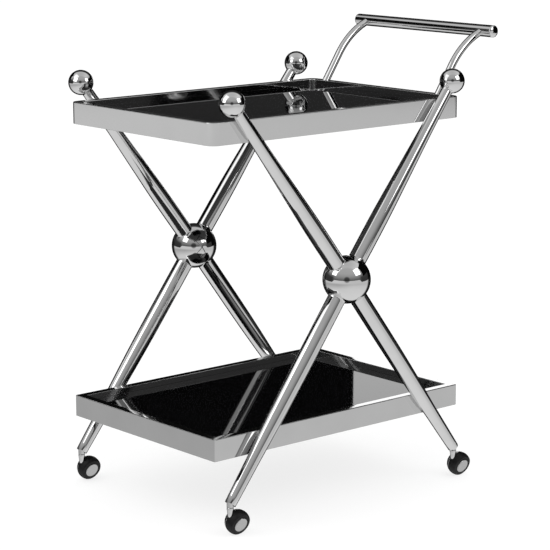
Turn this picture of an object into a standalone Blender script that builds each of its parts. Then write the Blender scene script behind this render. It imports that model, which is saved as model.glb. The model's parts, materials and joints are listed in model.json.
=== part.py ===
"""Two-tier trolley: two framed glass trays between X-shaped tube frames, on four swivel casters.

Metres, +Z up. The trolley rolls along X: the handle is at the rear (+X), the left side is at -Y.
"""
import math

import bmesh
import bpy
from mathutils import Matrix, Vector

# Driving dimensions, in metres.
GAP = 0.0003
SHEET = 0.0015

TRAY_LENGTH = 0.656
TRAY_WIDTH = 0.455
BAND_HEIGHT = 0.044
RIM_WIDTH = 0.0175
RIM_FOLD_RADIUS = 0.0012
UPPER_CORNER_RADIUS = 0.019
LOWER_CORNER_RADIUS = 0.0025
INNER_CORNER_RADIUS = 0.0008
GLASS_DROP = 0.0125
GLASS_THICKNESS = 0.006
LEDGE_WIDTH = 0.0125

UPPER_RIM_Z = 0.8015
LOWER_RIM_Z = 0.1927

HUB_RADIUS = 0.048
HUB_WALL = 0.0025
HUB_Y = 0.2415
HUB_Z = 0.4641

FINIAL_RADIUS = 0.0256
FINIAL_WALL = 0.002
FINIAL_X = 0.2895
FINIAL_Y = 0.240
FINIAL_Z = 0.8358

FOOT_X = 0.3036
FOOT_Y = 0.244
FOOT_Z = 0.0641

LEG_RADIUS = 0.01825
LEG_WALL = 0.0015
LEG_START = 0.040
LEG_STOP_IN_FINIAL = 0.020
# Share of the leg's length from the hub, and share of its full radius there.
UPPER_TAPER = ((0.0, 1.0), (0.3, 1.0), (0.5, 0.885), (0.7, 0.745), (0.85, 0.67), (1.0, 0.615))
LOWER_TAPER = ((0.0, 1.0), (0.4, 0.985), (0.6, 0.90), (0.8, 0.74), (0.9, 0.69), (1.0, 0.63))

BOLT_RADIUS = 0.003
BOLT_HEAD_RADIUS = 0.005
BOLT_HEAD_HEIGHT = 0.004
TRAY_BOLT_SHANK = 0.0125
ARM_BOLT_SHANK = 0.0085

PLUG_LENGTH = 0.018
SOCKET_RADIUS = 0.0067
SOCKET_RISE = 0.006
SEAM_Z = 0.0578
PIN_RADIUS = 0.0035
PIN_TOP_Z = 0.0665

WHEEL_RADIUS = 0.025
WHEEL_TILT = math.radians(19)
CASTER_TRAIL = 0.018
HOOD_FACE = -0.0077
NECK_FACE = -0.0074
TYRE_BACK = -0.0070
TYRE_FRONT = 0.0112
TYRE_BORE = 0.0168
CORE_RADIUS = 0.0165
CORE_BACK = -0.0068
CORE_FRONT = 0.0105
CAP_RADIUS = 0.016
CAP_BACK = 0.0108
AXLE_RADIUS = 0.003
AXLE_BACK = -0.0195
AXLE_FRONT = 0.0100

ARM_RADIUS = 0.008
ARM_Y = 0.173
ARM_BASE_X = 0.318
ARM_BASE_ANGLE = math.radians(56)
ARM_TOP_ANGLE = math.radians(18)
BAR_RADIUS = 0.0127
BAR_WALL = 0.002
BAR_HALF_LENGTH = 0.204
BAR_X = 0.445
BAR_Z = 0.9245
BAR_DOME = 0.005
BAR_PLUG_LENGTH = 0.012

# The handle overhangs the rear, so the trays sit forward of the origin, the middle of the whole box.
TRAY_X = -(BAR_X + BAR_RADIUS - TRAY_LENGTH / 2) / 2

SIDES = {"left": -1, "right": 1}
ENDS = {"front": -1, "rear": 1}
CORNERS = [(f"{end}_{side}", ex, sy) for end, ex in ENDS.items() for side, sy in SIDES.items()]
TRAY_RIMS = {"upper": UPPER_RIM_Z, "lower": LOWER_RIM_Z}
SPIN_AXIS = Vector((0, -math.cos(WHEEL_TILT), -math.sin(WHEEL_TILT)))

ROUND = 20
SMALL_ROUND = 12

# Colour, roughness and metallic value of each finish.
FINISHES = {
    "chrome": ((0.78, 0.78, 0.79), 0.06, 1.0),
    "black_glass": ((0.008, 0.008, 0.009), 0.03, 0.0),
    "steel": ((0.55, 0.55, 0.56), 0.30, 1.0),
    "tyre_rubber": ((0.018, 0.018, 0.019), 0.50, 0.0),
    "core_plastic": ((0.04, 0.04, 0.042), 0.40, 0.0),
    "satin_cap": ((0.62, 0.62, 0.63), 0.35, 1.0),
}


def clear_scene():
    for obj in list(bpy.data.objects):
        bpy.data.objects.remove(obj, do_unlink=True)


def finish_material(name, finish):
    colour, roughness, metallic = FINISHES[finish]
    material = bpy.data.materials.new(f"{name}_{finish}")
    material.use_nodes = True
    shader = material.node_tree.nodes["Principled BSDF"]
    shader.inputs["Base Color"].default_value = (*colour, 1)
    shader.inputs["Roughness"].default_value = roughness
    shader.inputs["Metallic"].default_value = metallic
    material.diffuse_color = (*colour, 1)
    return material


def add_object(name, bm, finish=None, location=(0, 0, 0), direction=(0, 0, 1)):
    """Turn a bmesh into an object whose local Z points along direction."""
    bmesh.ops.recalc_face_normals(bm, faces=bm.faces)
    mesh = bpy.data.meshes.new(name)
    bm.to_mesh(mesh)
    bm.free()
    obj = bpy.data.objects.new(name, mesh)
    bpy.context.collection.objects.link(obj)
    obj.location = location
    obj.rotation_mode = "QUATERNION"
    obj.rotation_quaternion = Vector((0, 0, 1)).rotation_difference(Vector(direction))
    if finish:
        mesh.materials.append(finish_material(name, finish))
    return obj


def boolean(target, tool, operation):
    """Cut a hidden tool from the target, or join it on."""
    tool.hide_render = True
    tool.display_type = "WIRE"
    modifier = target.modifiers.new(f"{operation.lower()}_{tool.name}", "BOOLEAN")
    modifier.operation = operation
    modifier.solver = "EXACT"
    modifier.object = tool


def turned(profile, segments, closed=False):
    """Spin an outline of (radius, height) points round Z; a closed one makes a ring."""
    bm = bmesh.new()
    verts = [bm.verts.new((radius, 0, height)) for radius, height in profile]
    for first, second in zip(verts, verts[1:]):
        bm.edges.new((first, second))
    if closed:
        bm.edges.new((verts[-1], verts[0]))
    outline = list(bm.verts) + list(bm.edges)
    bmesh.ops.spin(bm, geom=outline, cent=(0, 0, 0), axis=(0, 0, 1), angle=2 * math.pi, steps=segments)
    bmesh.ops.remove_doubles(bm, verts=bm.verts, dist=1e-6)
    return bm


def rod(radius, bottom, top, segments):
    return turned([(0, bottom), (radius, bottom), (radius, top), (0, top)], segments)


def skin(rows, ring):
    """Join closed rows of points side by side; a ring also joins the last row to the first."""
    bm = bmesh.new()
    loops = [[bm.verts.new(point) for point in row] for row in rows]
    pairs = list(zip(loops, loops[1:]))
    if ring:
        pairs.append((loops[-1], loops[0]))
    for near, far in pairs:
        for i in range(len(near)):
            j = (i + 1) % len(near)
            bm.faces.new((near[i], near[j], far[j], far[i]))
    if not ring:
        bm.faces.new(loops[0])
        bm.faces.new(loops[-1])
    return bm


def arc(radius, start, stop, steps, centre=(0, 0)):
    """Points (radius, height) on a circle, for angles measured from +Z."""
    angles = [start + (stop - start) * step / steps for step in range(steps + 1)]
    return [(centre[0] + radius * math.sin(a), centre[1] + radius * math.cos(a)) for a in angles]


# Trays

def rounded_outline(inset, corner_radius, steps):
    """The tray's outline, inset from its outer face, as (x, y) points from the tray's middle."""
    radius = max(corner_radius - inset, INNER_CORNER_RADIUS)
    half_x = TRAY_LENGTH / 2 - inset - radius
    half_y = TRAY_WIDTH / 2 - inset - radius
    points = []
    for quarter, (sx, sy) in enumerate(((1, 1), (-1, 1), (-1, -1), (1, -1))):
        for step in range(steps + 1):
            angle = math.pi / 2 * (quarter + step / steps)
            x = sx * half_x + radius * math.cos(angle)
            points.append((x, sy * half_y + radius * math.sin(angle)))
    return points


def band_section():
    """(inset, height below the rim) round the folded sheet: outer wall, rim, inner wall and ledge."""
    fold = RIM_FOLD_RADIUS
    ledge_top = GLASS_DROP + GLASS_THICKNESS + GAP
    outer_fold = [(fold - fold * math.cos(a), fold - fold * math.sin(a)) for a in (0, math.pi / 4, math.pi / 2)]
    inner_fold = [(RIM_WIDTH - inset, drop) for inset, drop in reversed(outer_fold)]
    return [(0, BAND_HEIGHT)] + outer_fold + inner_fold + [
        (RIM_WIDTH, ledge_top),
        (RIM_WIDTH + LEDGE_WIDTH, ledge_top),
        (RIM_WIDTH + LEDGE_WIDTH, ledge_top + SHEET),
        (RIM_WIDTH - SHEET, ledge_top + SHEET),
        (RIM_WIDTH - SHEET, SHEET),
        (SHEET, SHEET),
        (SHEET, BAND_HEIGHT),
    ]


def tray_band(level, corner_radius, steps):
    rim_z = TRAY_RIMS[level]
    rows = []
    for inset, drop in band_section():
        rows.append([(x, y, -drop) for x, y in rounded_outline(inset, corner_radius, steps)])
    return add_object(f"{level}_tray_band", skin(rows, ring=True), "chrome", (TRAY_X, 0, rim_z))


def tray_glass(level, corner_radius, steps):
    outline = rounded_outline(RIM_WIDTH + GAP, corner_radius, steps)
    rows = [[(x, y, height) for x, y in outline] for height in (-GLASS_THICKNESS, 0)]
    place = (TRAY_X, 0, TRAY_RIMS[level] - GLASS_DROP)
    return add_object(f"{level}_tray_glass", skin(rows, ring=False), "black_glass", place)


# Side frames

def hub_centre(sy):
    return Vector((TRAY_X, sy * HUB_Y, HUB_Z))


def leg_end(level, ex, sy):
    """The finial's middle for an upper leg, the middle of the cut end for a lower one."""
    if level == "upper":
        return Vector((TRAY_X + ex * FINIAL_X, sy * FINIAL_Y, FINIAL_Z))
    return Vector((TRAY_X + ex * FOOT_X, sy * FOOT_Y, FOOT_Z))


def leg_radius(taper, share):
    for (near, near_size), (far, far_size) in zip(taper, taper[1:]):
        if share <= far:
            return LEG_RADIUS * (near_size + (far_size - near_size) * (share - near) / (far - near))
    return LEG_RADIUS * taper[-1][1]


def leg(level, corner, ex, sy):
    start = hub_centre(sy)
    along = leg_end(level, ex, sy) - start
    length = along.length
    taper = UPPER_TAPER if level == "upper" else LOWER_TAPER
    stop = length - LEG_STOP_IN_FINIAL if level == "upper" else length
    knots = [LEG_START] + [share * length for share, _ in taper[1:-1]] + [stop]
    outside = [(leg_radius(taper, z / length), z) for z in knots]
    bore_knots = [knots[-1], knots[-3], knots[0]]
    inside = [(leg_radius(taper, z / length) - LEG_WALL, z) for z in bore_knots]
    return add_object(f"{level}_leg_{corner}", turned(outside + inside, ROUND, closed=True),
                      "chrome", start, along)


def hub_ball(side, sy):
    bm = bmesh.new()
    bmesh.ops.create_uvsphere(bm, u_segments=24, v_segments=12, radius=HUB_RADIUS)
    outer = add_object(f"hub_ball_{side}", bm, "chrome", hub_centre(sy))
    hollow = bmesh.new()
    bmesh.ops.create_uvsphere(hollow, u_segments=16, v_segments=8, radius=HUB_RADIUS - HUB_WALL)
    boolean(outer, add_object(f"hub_hollow_{side}", hollow, location=hub_centre(sy)), "DIFFERENCE")
    for level in TRAY_RIMS:
        for end, ex in ENDS.items():
            along = leg_end(level, ex, sy) - hub_centre(sy)
            hole = rod(LEG_RADIUS + GAP, LEG_START - 0.010, HUB_RADIUS + 0.010, ROUND)
            name = f"hub_hole_{level}_{end}_{side}"
            boolean(outer, add_object(name, hole, None, hub_centre(sy), along), "DIFFERENCE")
    return outer


def finial_ball(corner, ex, sy):
    centre = leg_end("upper", ex, sy)
    along = centre - hub_centre(sy)
    hole = leg_radius(UPPER_TAPER, 1 - FINIAL_RADIUS / along.length) + GAP
    inner_radius = FINIAL_RADIUS - FINIAL_WALL
    outer = arc(FINIAL_RADIUS, 0, math.pi - math.asin(hole / FINIAL_RADIUS), 7)
    inner = arc(inner_radius, math.pi - math.asin(hole / inner_radius), 0, 4)
    return add_object(f"finial_ball_{corner}", turned(outer + inner, ROUND), "chrome", centre, along)


# Bolts

def bolt(name, shank, place, direction):
    """A round-headed bolt whose head's shoulder is at place; its shank points along direction."""
    outline = [(0, -BOLT_HEAD_HEIGHT), (BOLT_HEAD_RADIUS * 0.8, -BOLT_HEAD_HEIGHT),
               (BOLT_HEAD_RADIUS, -BOLT_HEAD_HEIGHT * 0.7), (BOLT_HEAD_RADIUS, 0),
               (BOLT_RADIUS, 0), (BOLT_RADIUS, shank), (0, shank)]
    return add_object(name, turned(outline, SMALL_ROUND), "steel", place, direction)


def tray_bolt(level, corner, ex, sy, band, leg_tube):
    """Bolt a leg to the tray band, with the head hidden inside the folded band."""
    hub = hub_centre(sy)
    along = leg_end(level, ex, sy) - hub
    height = TRAY_RIMS[level] - BAND_HEIGHT / 2
    crossing = hub + along * ((height - hub.z) / along.z)
    place = Vector((crossing.x, sy * (TRAY_WIDTH / 2 - SHEET - GAP), height))
    name = f"tray_bolt_{level}_{corner}"
    bolt(name, TRAY_BOLT_SHANK, place, (0, sy, 0))
    hole = rod(BOLT_RADIUS + GAP, -0.001, TRAY_BOLT_SHANK + 0.001, SMALL_ROUND)
    cutter = add_object(f"{name}_hole", hole, None, place, (0, sy, 0))
    boolean(band, cutter, "DIFFERENCE")
    boolean(leg_tube, cutter, "DIFFERENCE")


# Casters

def wheel_centre(ex, sy):
    return Vector((TRAY_X + ex * FOOT_X + CASTER_TRAIL, sy * FOOT_Y, WHEEL_RADIUS))


def leg_socket(corner, ex, sy):
    """The plug in the leg's end and the upright post that the caster's pin turns in."""
    foot = leg_end("lower", ex, sy)
    upwards = hub_centre(sy) - foot
    plug_radius = leg_radius(LOWER_TAPER, 1) - LEG_WALL - GAP
    socket = add_object(f"leg_socket_{corner}", rod(plug_radius, 0.0005, PLUG_LENGTH, ROUND),
                        "chrome", foot, upwards)
    post = rod(SOCKET_RADIUS, SEAM_Z + GAP - foot.z, SOCKET_RISE, ROUND)
    boolean(socket, add_object(f"socket_post_{corner}", post, None, foot), "UNION")
    bore = rod(PIN_RADIUS + GAP, SEAM_Z - 0.002 - foot.z, PIN_TOP_Z + GAP - foot.z, SMALL_ROUND)
    boolean(socket, add_object(f"socket_bore_{corner}", bore, None, foot), "DIFFERENCE")
    return socket


def caster_hood(corner, ex, sy):
    """The swivelling casting: pin, tapered neck and the round hood on one side of the wheel."""
    pivot = Vector((TRAY_X + ex * FOOT_X, sy * FOOT_Y, SEAM_Z))
    centre = wheel_centre(ex, sy)
    neck_outline = [(0, -0.0215), (0.0035, -0.0195), (0.0052, -0.0150), (0.0062, -0.0085),
                    (SOCKET_RADIUS, -0.0040), (SOCKET_RADIUS, -GAP), (PIN_RADIUS, -GAP),
                    (PIN_RADIUS, PIN_TOP_Z - SEAM_Z), (0, PIN_TOP_Z - SEAM_Z)]
    neck = add_object(f"caster_hood_{corner}", turned(neck_outline, ROUND), "chrome", pivot)
    swing = WHEEL_RADIUS + 0.0006
    room = arc(swing, 0, math.acos(NECK_FACE / swing), 6) + [(0, NECK_FACE)]
    room_tool = add_object(f"wheel_room_{corner}", turned(room, ROUND), None, centre, SPIN_AXIS)
    boolean(neck, room_tool, "DIFFERENCE")
    hood = arc(WHEEL_RADIUS, math.acos(HOOD_FACE / WHEEL_RADIUS), math.pi, 5)
    bore = [(0, AXLE_BACK - GAP), (AXLE_RADIUS + GAP, AXLE_BACK - GAP), (AXLE_RADIUS + GAP, HOOD_FACE)]
    hood_tool = add_object(f"hood_shell_{corner}", turned(bore + hood, ROUND), None, centre, SPIN_AXIS)
    boolean(neck, hood_tool, "UNION")
    return neck


def wheel(corner, ex, sy):
    """Axle, core, tyre and hub cap, each on the wheel's own tilted axis."""
    centre = wheel_centre(ex, sy)
    add_object(f"axle_{corner}", rod(AXLE_RADIUS, AXLE_BACK, AXLE_FRONT, SMALL_ROUND), "steel", centre, SPIN_AXIS)

    core = [(AXLE_RADIUS + GAP, CORE_BACK), (CORE_RADIUS, CORE_BACK),
            (CORE_RADIUS, CORE_FRONT), (AXLE_RADIUS + GAP, CORE_FRONT)]
    add_object(f"wheel_core_{corner}", turned(core, ROUND, closed=True), "core_plastic", centre, SPIN_AXIS)

    ground_line = WHEEL_RADIUS * math.sin(WHEEL_TILT)
    tread = [(math.sqrt(WHEEL_RADIUS ** 2 - z ** 2), z) for z in (-0.0058, -0.003, 0, 0.003, 0.0057)]
    contact = [(WHEEL_RADIUS * math.cos(WHEEL_TILT), ground_line)]
    tyre = [(TYRE_BORE, TYRE_BACK), (0.0232, TYRE_BACK)] + tread + contact
    tyre += [(0.0228, 0.0098), (0.0214, TYRE_FRONT), (TYRE_BORE, TYRE_FRONT)]
    add_object(f"tyre_{corner}", turned(tyre, ROUND, closed=True), "tyre_rubber", centre, SPIN_AXIS)

    cap = [(0, CAP_BACK), (CAP_RADIUS, CAP_BACK), (CAP_RADIUS, CAP_BACK + 0.0007),
           (CAP_RADIUS - 0.001, CAP_BACK + 0.0013), (0, CAP_BACK + 0.0020)]
    add_object(f"hub_cap_{corner}", turned(cap, ROUND), "satin_cap", centre, SPIN_AXIS)


# Handle

def arm_path():
    """(x, z) and heading along the arm: straight from the rim, then one even bend to the bar."""
    rise = BAR_Z - UPPER_RIM_Z
    reach = BAR_X - ARM_BASE_X
    low, high = ARM_BASE_ANGLE, ARM_TOP_ANGLE
    bend_x = math.sin(low) - math.sin(high)
    bend_z = math.cos(high) - math.cos(low)
    bend = (rise * math.cos(low) - reach * math.sin(low)) / (bend_z * math.cos(low) - bend_x * math.sin(low))
    straight = (reach - bend * bend_x) / math.cos(low)
    buried = ARM_RADIUS * 1.5
    path = [(-buried * math.cos(low), -buried * math.sin(low), low)]
    steps = 8
    for step in range(steps + 1):
        heading = low + (high - low) * step / steps
        x = straight * math.cos(low) + bend * (math.sin(low) - math.sin(heading))
        z = straight * math.sin(low) + bend * (math.cos(heading) - math.cos(low))
        path.append((x, z, heading))
    return path


def handle_arm(side, sy, band):
    rows = []
    for x, z, heading in arm_path():
        row = []
        for i in range(ROUND):
            turn = 2 * math.pi * i / ROUND
            across, up = ARM_RADIUS * math.cos(turn), ARM_RADIUS * math.sin(turn)
            row.append((x - up * math.sin(heading), across, z + up * math.cos(heading)))
        rows.append(row)
    bm = skin(rows, ring=False)
    everything = list(bm.verts) + list(bm.edges) + list(bm.faces)
    cut = bmesh.ops.bisect_plane(bm, geom=everything, plane_co=(0, 0, GAP), plane_no=(0, 0, -1),
                                 clear_outer=True)
    foot_edges = [edge for edge in cut["geom_cut"] if isinstance(edge, bmesh.types.BMEdge)]
    bmesh.ops.holes_fill(bm, edges=foot_edges)
    base = Vector((TRAY_X + ARM_BASE_X, sy * ARM_Y, UPPER_RIM_Z))
    arm = add_object(f"handle_arm_{side}", bm, "chrome", base)

    saddle = rod(BAR_RADIUS + GAP, -0.02, 0.02, ROUND)
    bar_place = (TRAY_X + BAR_X, sy * ARM_Y, BAR_Z)
    boolean(arm, add_object(f"arm_saddle_{side}", saddle, None, bar_place, (0, 1, 0)), "DIFFERENCE")

    shoulder = base - Vector((0, 0, SHEET + GAP))
    name = f"handle_bolt_{side}"
    bolt(name, ARM_BOLT_SHANK, shoulder, (0, 0, 1))
    hole = rod(BOLT_RADIUS + GAP, -0.001, ARM_BOLT_SHANK + GAP, SMALL_ROUND)
    cutter = add_object(f"{name}_hole", hole, None, shoulder)
    boolean(arm, cutter, "DIFFERENCE")
    boolean(band, cutter, "DIFFERENCE")


def handle_bar():
    inner = BAR_RADIUS - BAR_WALL
    outline = [(inner, -BAR_HALF_LENGTH), (BAR_RADIUS, -BAR_HALF_LENGTH),
               (BAR_RADIUS, BAR_HALF_LENGTH), (inner, BAR_HALF_LENGTH)]
    place = (TRAY_X + BAR_X, 0, BAR_Z)
    add_object("handle_bar", turned(outline, ROUND, closed=True), "chrome", place, (0, 1, 0))


def handle_cap(side, sy):
    plug = BAR_RADIUS - BAR_WALL - GAP
    dome = [(BAR_RADIUS * math.cos(a), GAP + BAR_DOME * math.sin(a)) for a in (0, 0.5, 1.0)]
    outline = [(0, -BAR_PLUG_LENGTH), (plug, -BAR_PLUG_LENGTH), (plug, GAP)] + dome + [(0, GAP + BAR_DOME)]
    place = (TRAY_X + BAR_X, sy * BAR_HALF_LENGTH, BAR_Z)
    add_object(f"handle_cap_{side}", turned(outline, ROUND), "chrome", place, (0, sy, 0))


clear_scene()
tray_glass("upper", UPPER_CORNER_RADIUS, 2)
tray_glass("lower", LOWER_CORNER_RADIUS, 2)
bands = {
    "upper": tray_band("upper", UPPER_CORNER_RADIUS, 5),
    "lower": tray_band("lower", LOWER_CORNER_RADIUS, 2),
}
for side_name, side_sign in SIDES.items():
    hub_ball(side_name, side_sign)
    handle_arm(side_name, side_sign, bands["upper"])
    handle_cap(side_name, side_sign)
handle_bar()
for corner_name, end_sign, side_sign in CORNERS:
    finial_ball(corner_name, end_sign, side_sign)
    for tray_level, tray_band_object in bands.items():
        tube = leg(tray_level, corner_name, end_sign, side_sign)
        tray_bolt(tray_level, corner_name, end_sign, side_sign, tray_band_object, tube)
    leg_socket(corner_name, end_sign, side_sign)
    caster_hood(corner_name, end_sign, side_sign)
    wheel(corner_name, end_sign, side_sign)
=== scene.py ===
"""A two-tier rolling trolley in polished chrome and black glass, fitted over its CAD solids.

The sections follow the order it is put together in: trays, glass, side frames, handle, casters.
Lengths are in metres, in the frame of those solids: +Z up, handle at +X, left side at -Y.
"""
import json
import math

import bmesh
import bpy
from mathutils import Matrix, Vector


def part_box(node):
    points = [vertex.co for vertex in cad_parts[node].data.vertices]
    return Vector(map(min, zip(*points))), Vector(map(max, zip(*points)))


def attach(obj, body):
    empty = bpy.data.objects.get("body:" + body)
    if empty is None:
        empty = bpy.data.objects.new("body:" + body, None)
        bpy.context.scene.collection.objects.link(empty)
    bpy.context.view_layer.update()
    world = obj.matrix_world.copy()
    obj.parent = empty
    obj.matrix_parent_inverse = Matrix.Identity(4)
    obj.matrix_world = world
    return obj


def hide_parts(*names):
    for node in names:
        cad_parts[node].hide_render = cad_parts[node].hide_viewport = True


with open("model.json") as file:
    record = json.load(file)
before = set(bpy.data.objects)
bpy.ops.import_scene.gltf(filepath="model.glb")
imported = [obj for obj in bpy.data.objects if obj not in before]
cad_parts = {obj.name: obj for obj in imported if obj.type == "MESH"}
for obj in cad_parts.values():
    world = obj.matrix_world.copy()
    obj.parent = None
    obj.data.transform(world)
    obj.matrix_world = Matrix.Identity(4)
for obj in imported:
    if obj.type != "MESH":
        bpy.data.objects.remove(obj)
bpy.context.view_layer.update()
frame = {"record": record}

joints = {joint["name"]: joint for joint in frame["record"]["behaviour"]["joints"]}


# The trays' bands. Each is one strip of 1.5 mm stainless sheet, folded over into a flat rim,
# down inside and in again to a ledge for the glass, then mitred, welded and mirror polished.
# The upper tray has round corners and the lower one almost square ones.
SHEET = 0.0015
BAND_HEIGHT = 0.044
RIM_WIDTH = 0.0175
LEDGE_WIDTH = 0.0125
LEDGE_DEPTH = 0.0188
FOLD_RADIUS = 0.0016
FOLD_STEPS = 4
# How far a rounding's middle lies from its corner, each way, as a share of its radius.
ROUNDING_MIDDLE = 0.3
LIP_ROUNDING = 0.0003
CORNER_STEPS = 14
UPPER_OUTER_RADIUS = 0.019
UPPER_INNER_RADIUS = 0.012
LOWER_OUTER_RADIUS = 0.0025
LOWER_INNER_RADIUS = 0.0010


def srgb(colour):
    """Linear colour of an sRGB hex value, with full alpha."""
    channels = [int(colour[i:i + 2], 16) / 255 for i in (1, 3, 5)]
    return tuple(c / 12.92 if c <= 0.04045 else ((c + 0.055) / 1.055) ** 2.4 for c in channels) + (1.0,)


def add_node(tree, kind, inputs=(), **settings):
    """Add a node, set its properties, and set or link its inputs."""
    node = tree.nodes.new(kind)
    for key, value in settings.items():
        setattr(node, key, value)
    for socket, value in dict(inputs).items():
        if isinstance(value, bpy.types.NodeSocket):
            tree.links.new(value, node.inputs[socket])
        else:
            node.inputs[socket].default_value = value
    return node


def new_material(name, **shader_inputs):
    """A material with one Principled shader, whose plain values are given by socket name."""
    material = bpy.data.materials.new(name)
    material.use_nodes = True
    shader = material.node_tree.nodes["Principled BSDF"]
    for socket, value in shader_inputs.items():
        shader.inputs[socket.replace("_", " ")].default_value = value
    return material, material.node_tree, shader


def link(tree, source, shader, socket):
    tree.links.new(source, shader.inputs[socket])


# Mirror-polished stainless steel, buffed in long strokes: a clean mirror with 70 mm clouds of
# faint haze where the mop has passed, and a surface that isn't quite flat.
polished_sheet, tree, shader = new_material("mirror_polished_stainless", Metallic=1.0)
place = add_node(tree, "ShaderNodeTexCoord").outputs["Object"]
haze = add_node(tree, "ShaderNodeTexNoise", {"Vector": place, "Scale": 14.0, "Detail": 3.0})
rough = add_node(tree, "ShaderNodeMapRange", {"Value": haze.outputs["Fac"], "To Min": 0.035, "To Max": 0.085})
link(tree, rough.outputs["Result"], shader, "Roughness")
tone = add_node(tree, "ShaderNodeValToRGB", {"Fac": haze.outputs["Fac"]})
tone.color_ramp.elements[0].color = srgb("#D4D4D4")
tone.color_ramp.elements[1].color = srgb("#DFDFDF")
link(tree, tone.outputs["Color"], shader, "Base Color")
# Waves of about 60 mm and 0.02 mm height, as in hand-polished sheet.
waves = add_node(tree, "ShaderNodeTexNoise", {"Vector": place, "Scale": 16.0, "Detail": 1.0})
bump = add_node(tree, "ShaderNodeBump", {"Height": waves.outputs["Fac"], "Strength": 0.25,
                                         "Distance": 0.00006})
link(tree, bump.outputs["Normal"], shader, "Normal")


def new_piece(name):
    """An empty mesh object, open in edit mode."""
    bpy.ops.object.select_all(action="DESELECT")
    piece = bpy.data.objects.new(name, bpy.data.meshes.new(name))
    bpy.context.collection.objects.link(piece)
    bpy.context.view_layer.objects.active = piece
    piece.select_set(True)
    bpy.ops.object.mode_set(mode="EDIT")
    return piece


def apply_modifier(piece, kind, **settings):
    """Add a modifier with its settings, and apply it."""
    bpy.context.view_layer.objects.active = piece
    modifier = piece.modifiers.new(kind.lower(), kind)
    for key, value in settings.items():
        setattr(modifier, key, value)
    bpy.ops.object.modifier_apply(modifier=modifier.name)


def smooth_shading(piece, degrees=30):
    bpy.ops.object.select_all(action="DESELECT")
    piece.select_set(True)
    bpy.context.view_layer.objects.active = piece
    bpy.ops.object.shade_smooth_by_angle(angle=math.radians(degrees))


def fit(piece, body, slot, material, *nodes):
    """Give a finished piece its material, and put it on its body in place of its CAD nodes."""
    piece.data.materials.clear()
    piece.data.materials.append(material)
    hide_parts(*nodes)
    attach(piece, body)


def band_section():
    """(inset, drop below the rim) round the folded sheet, with its folds and lips rounded."""
    fold = FOLD_RADIUS
    lip = LIP_ROUNDING
    turns = [math.pi / 2 * step / FOLD_STEPS for step in range(FOLD_STEPS + 1)]
    outer_fold = [(fold - fold * math.cos(a), fold - fold * math.sin(a)) for a in turns]
    inner_fold = [(RIM_WIDTH - inset, drop) for inset, drop in reversed(outer_fold)]
    under = LEDGE_DEPTH + SHEET
    edge = RIM_WIDTH + LEDGE_WIDTH
    back = RIM_WIDTH - SHEET
    middle = fold * ROUNDING_MIDDLE
    ledge = [(RIM_WIDTH, LEDGE_DEPTH), (edge - lip, LEDGE_DEPTH), (edge, LEDGE_DEPTH + lip),
             (edge, under - lip), (edge - lip, under), (back + fold, under),
             (back + middle, under - middle), (back, under - fold)]
    hollow = [(back, SHEET), (SHEET, SHEET), (SHEET, BAND_HEIGHT - lip)]
    bottom = [(SHEET - lip, BAND_HEIGHT), (lip, BAND_HEIGHT), (0, BAND_HEIGHT - lip)]
    return outer_fold + inner_fold + ledge + hollow + bottom


def rounded_outline(half_x, half_y, radius, centre):
    """Points round a rectangle with rounded corners, the same number at every size."""
    points = []
    for quarter in range(4):
        out_x = half_x - radius if quarter in (0, 3) else radius - half_x
        out_y = half_y - radius if quarter in (0, 1) else radius - half_y
        for step in range(CORNER_STEPS + 1):
            angle = math.pi / 2 * (quarter + step / CORNER_STEPS)
            points.append(centre + Vector((out_x + radius * math.cos(angle),
                                           out_y + radius * math.sin(angle), 0)))
    return points


def face_outwards(piece):
    """In edit mode, point every face of a closed piece outwards, then leave edit mode."""
    bpy.ops.mesh.select_all(action="SELECT")
    bpy.ops.mesh.normals_make_consistent(inside=False)
    if bmesh.from_edit_mesh(piece.data).calc_volume(signed=True) < 0:
        bpy.ops.mesh.flip_normals()
    bpy.ops.object.mode_set(mode="OBJECT")


def fold_band(level, outer_radius, inner_radius):
    """Lay one outline for each point of the section, with faces from each outline to the next.

    The corners tighten from the outer radius to the inner one across the rim, which no extrusion
    or spin of the section gives.
    """
    low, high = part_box(f"{level}_tray_band")
    half_x = (high[0] - low[0]) / 2
    half_y = (high[1] - low[1]) / 2
    band = new_piece(f"{level}_band")
    bm = bmesh.from_edit_mesh(band.data)
    rows = []
    for inset, drop in band_section():
        centre = Vector(((low[0] + high[0]) / 2, 0, high[2] - drop))
        radius = outer_radius + (inner_radius - outer_radius) * min(inset / RIM_WIDTH, 1.0)
        outline = rounded_outline(half_x - inset, half_y - inset, radius, centre)
        rows.append([bm.verts.new(point) for point in outline])
    for row, next_row in zip(rows, rows[1:] + rows[:1]):
        for index in range(len(row)):
            bm.faces.new((row[index - 1], row[index], next_row[index], next_row[index - 1]))
    bmesh.update_edit_mesh(band.data)
    face_outwards(band)
    smooth_shading(band)
    apply_modifier(band, "WEIGHTED_NORMAL", keep_sharp=True, weight=100)
    fit(band, "frame", "chrome", polished_sheet, f"{level}_tray_band")


fold_band("upper", UPPER_OUTER_RADIUS, UPPER_INNER_RADIUS)
fold_band("lower", LOWER_OUTER_RADIUS, LOWER_INNER_RADIUS)


# The glass. Two panels of 6 mm float glass, back-painted black, with a polished arris all
# round, lie loose on the bands' ledges, 12.5 mm below the rims.
ARRIS = 0.0008
CORNER_SEGMENTS = 10
# The lower glass has its corners eased a little, so that it drops into the square band.
CORNER_EASE = 0.0005
SHARP_EDGE = 60

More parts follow.
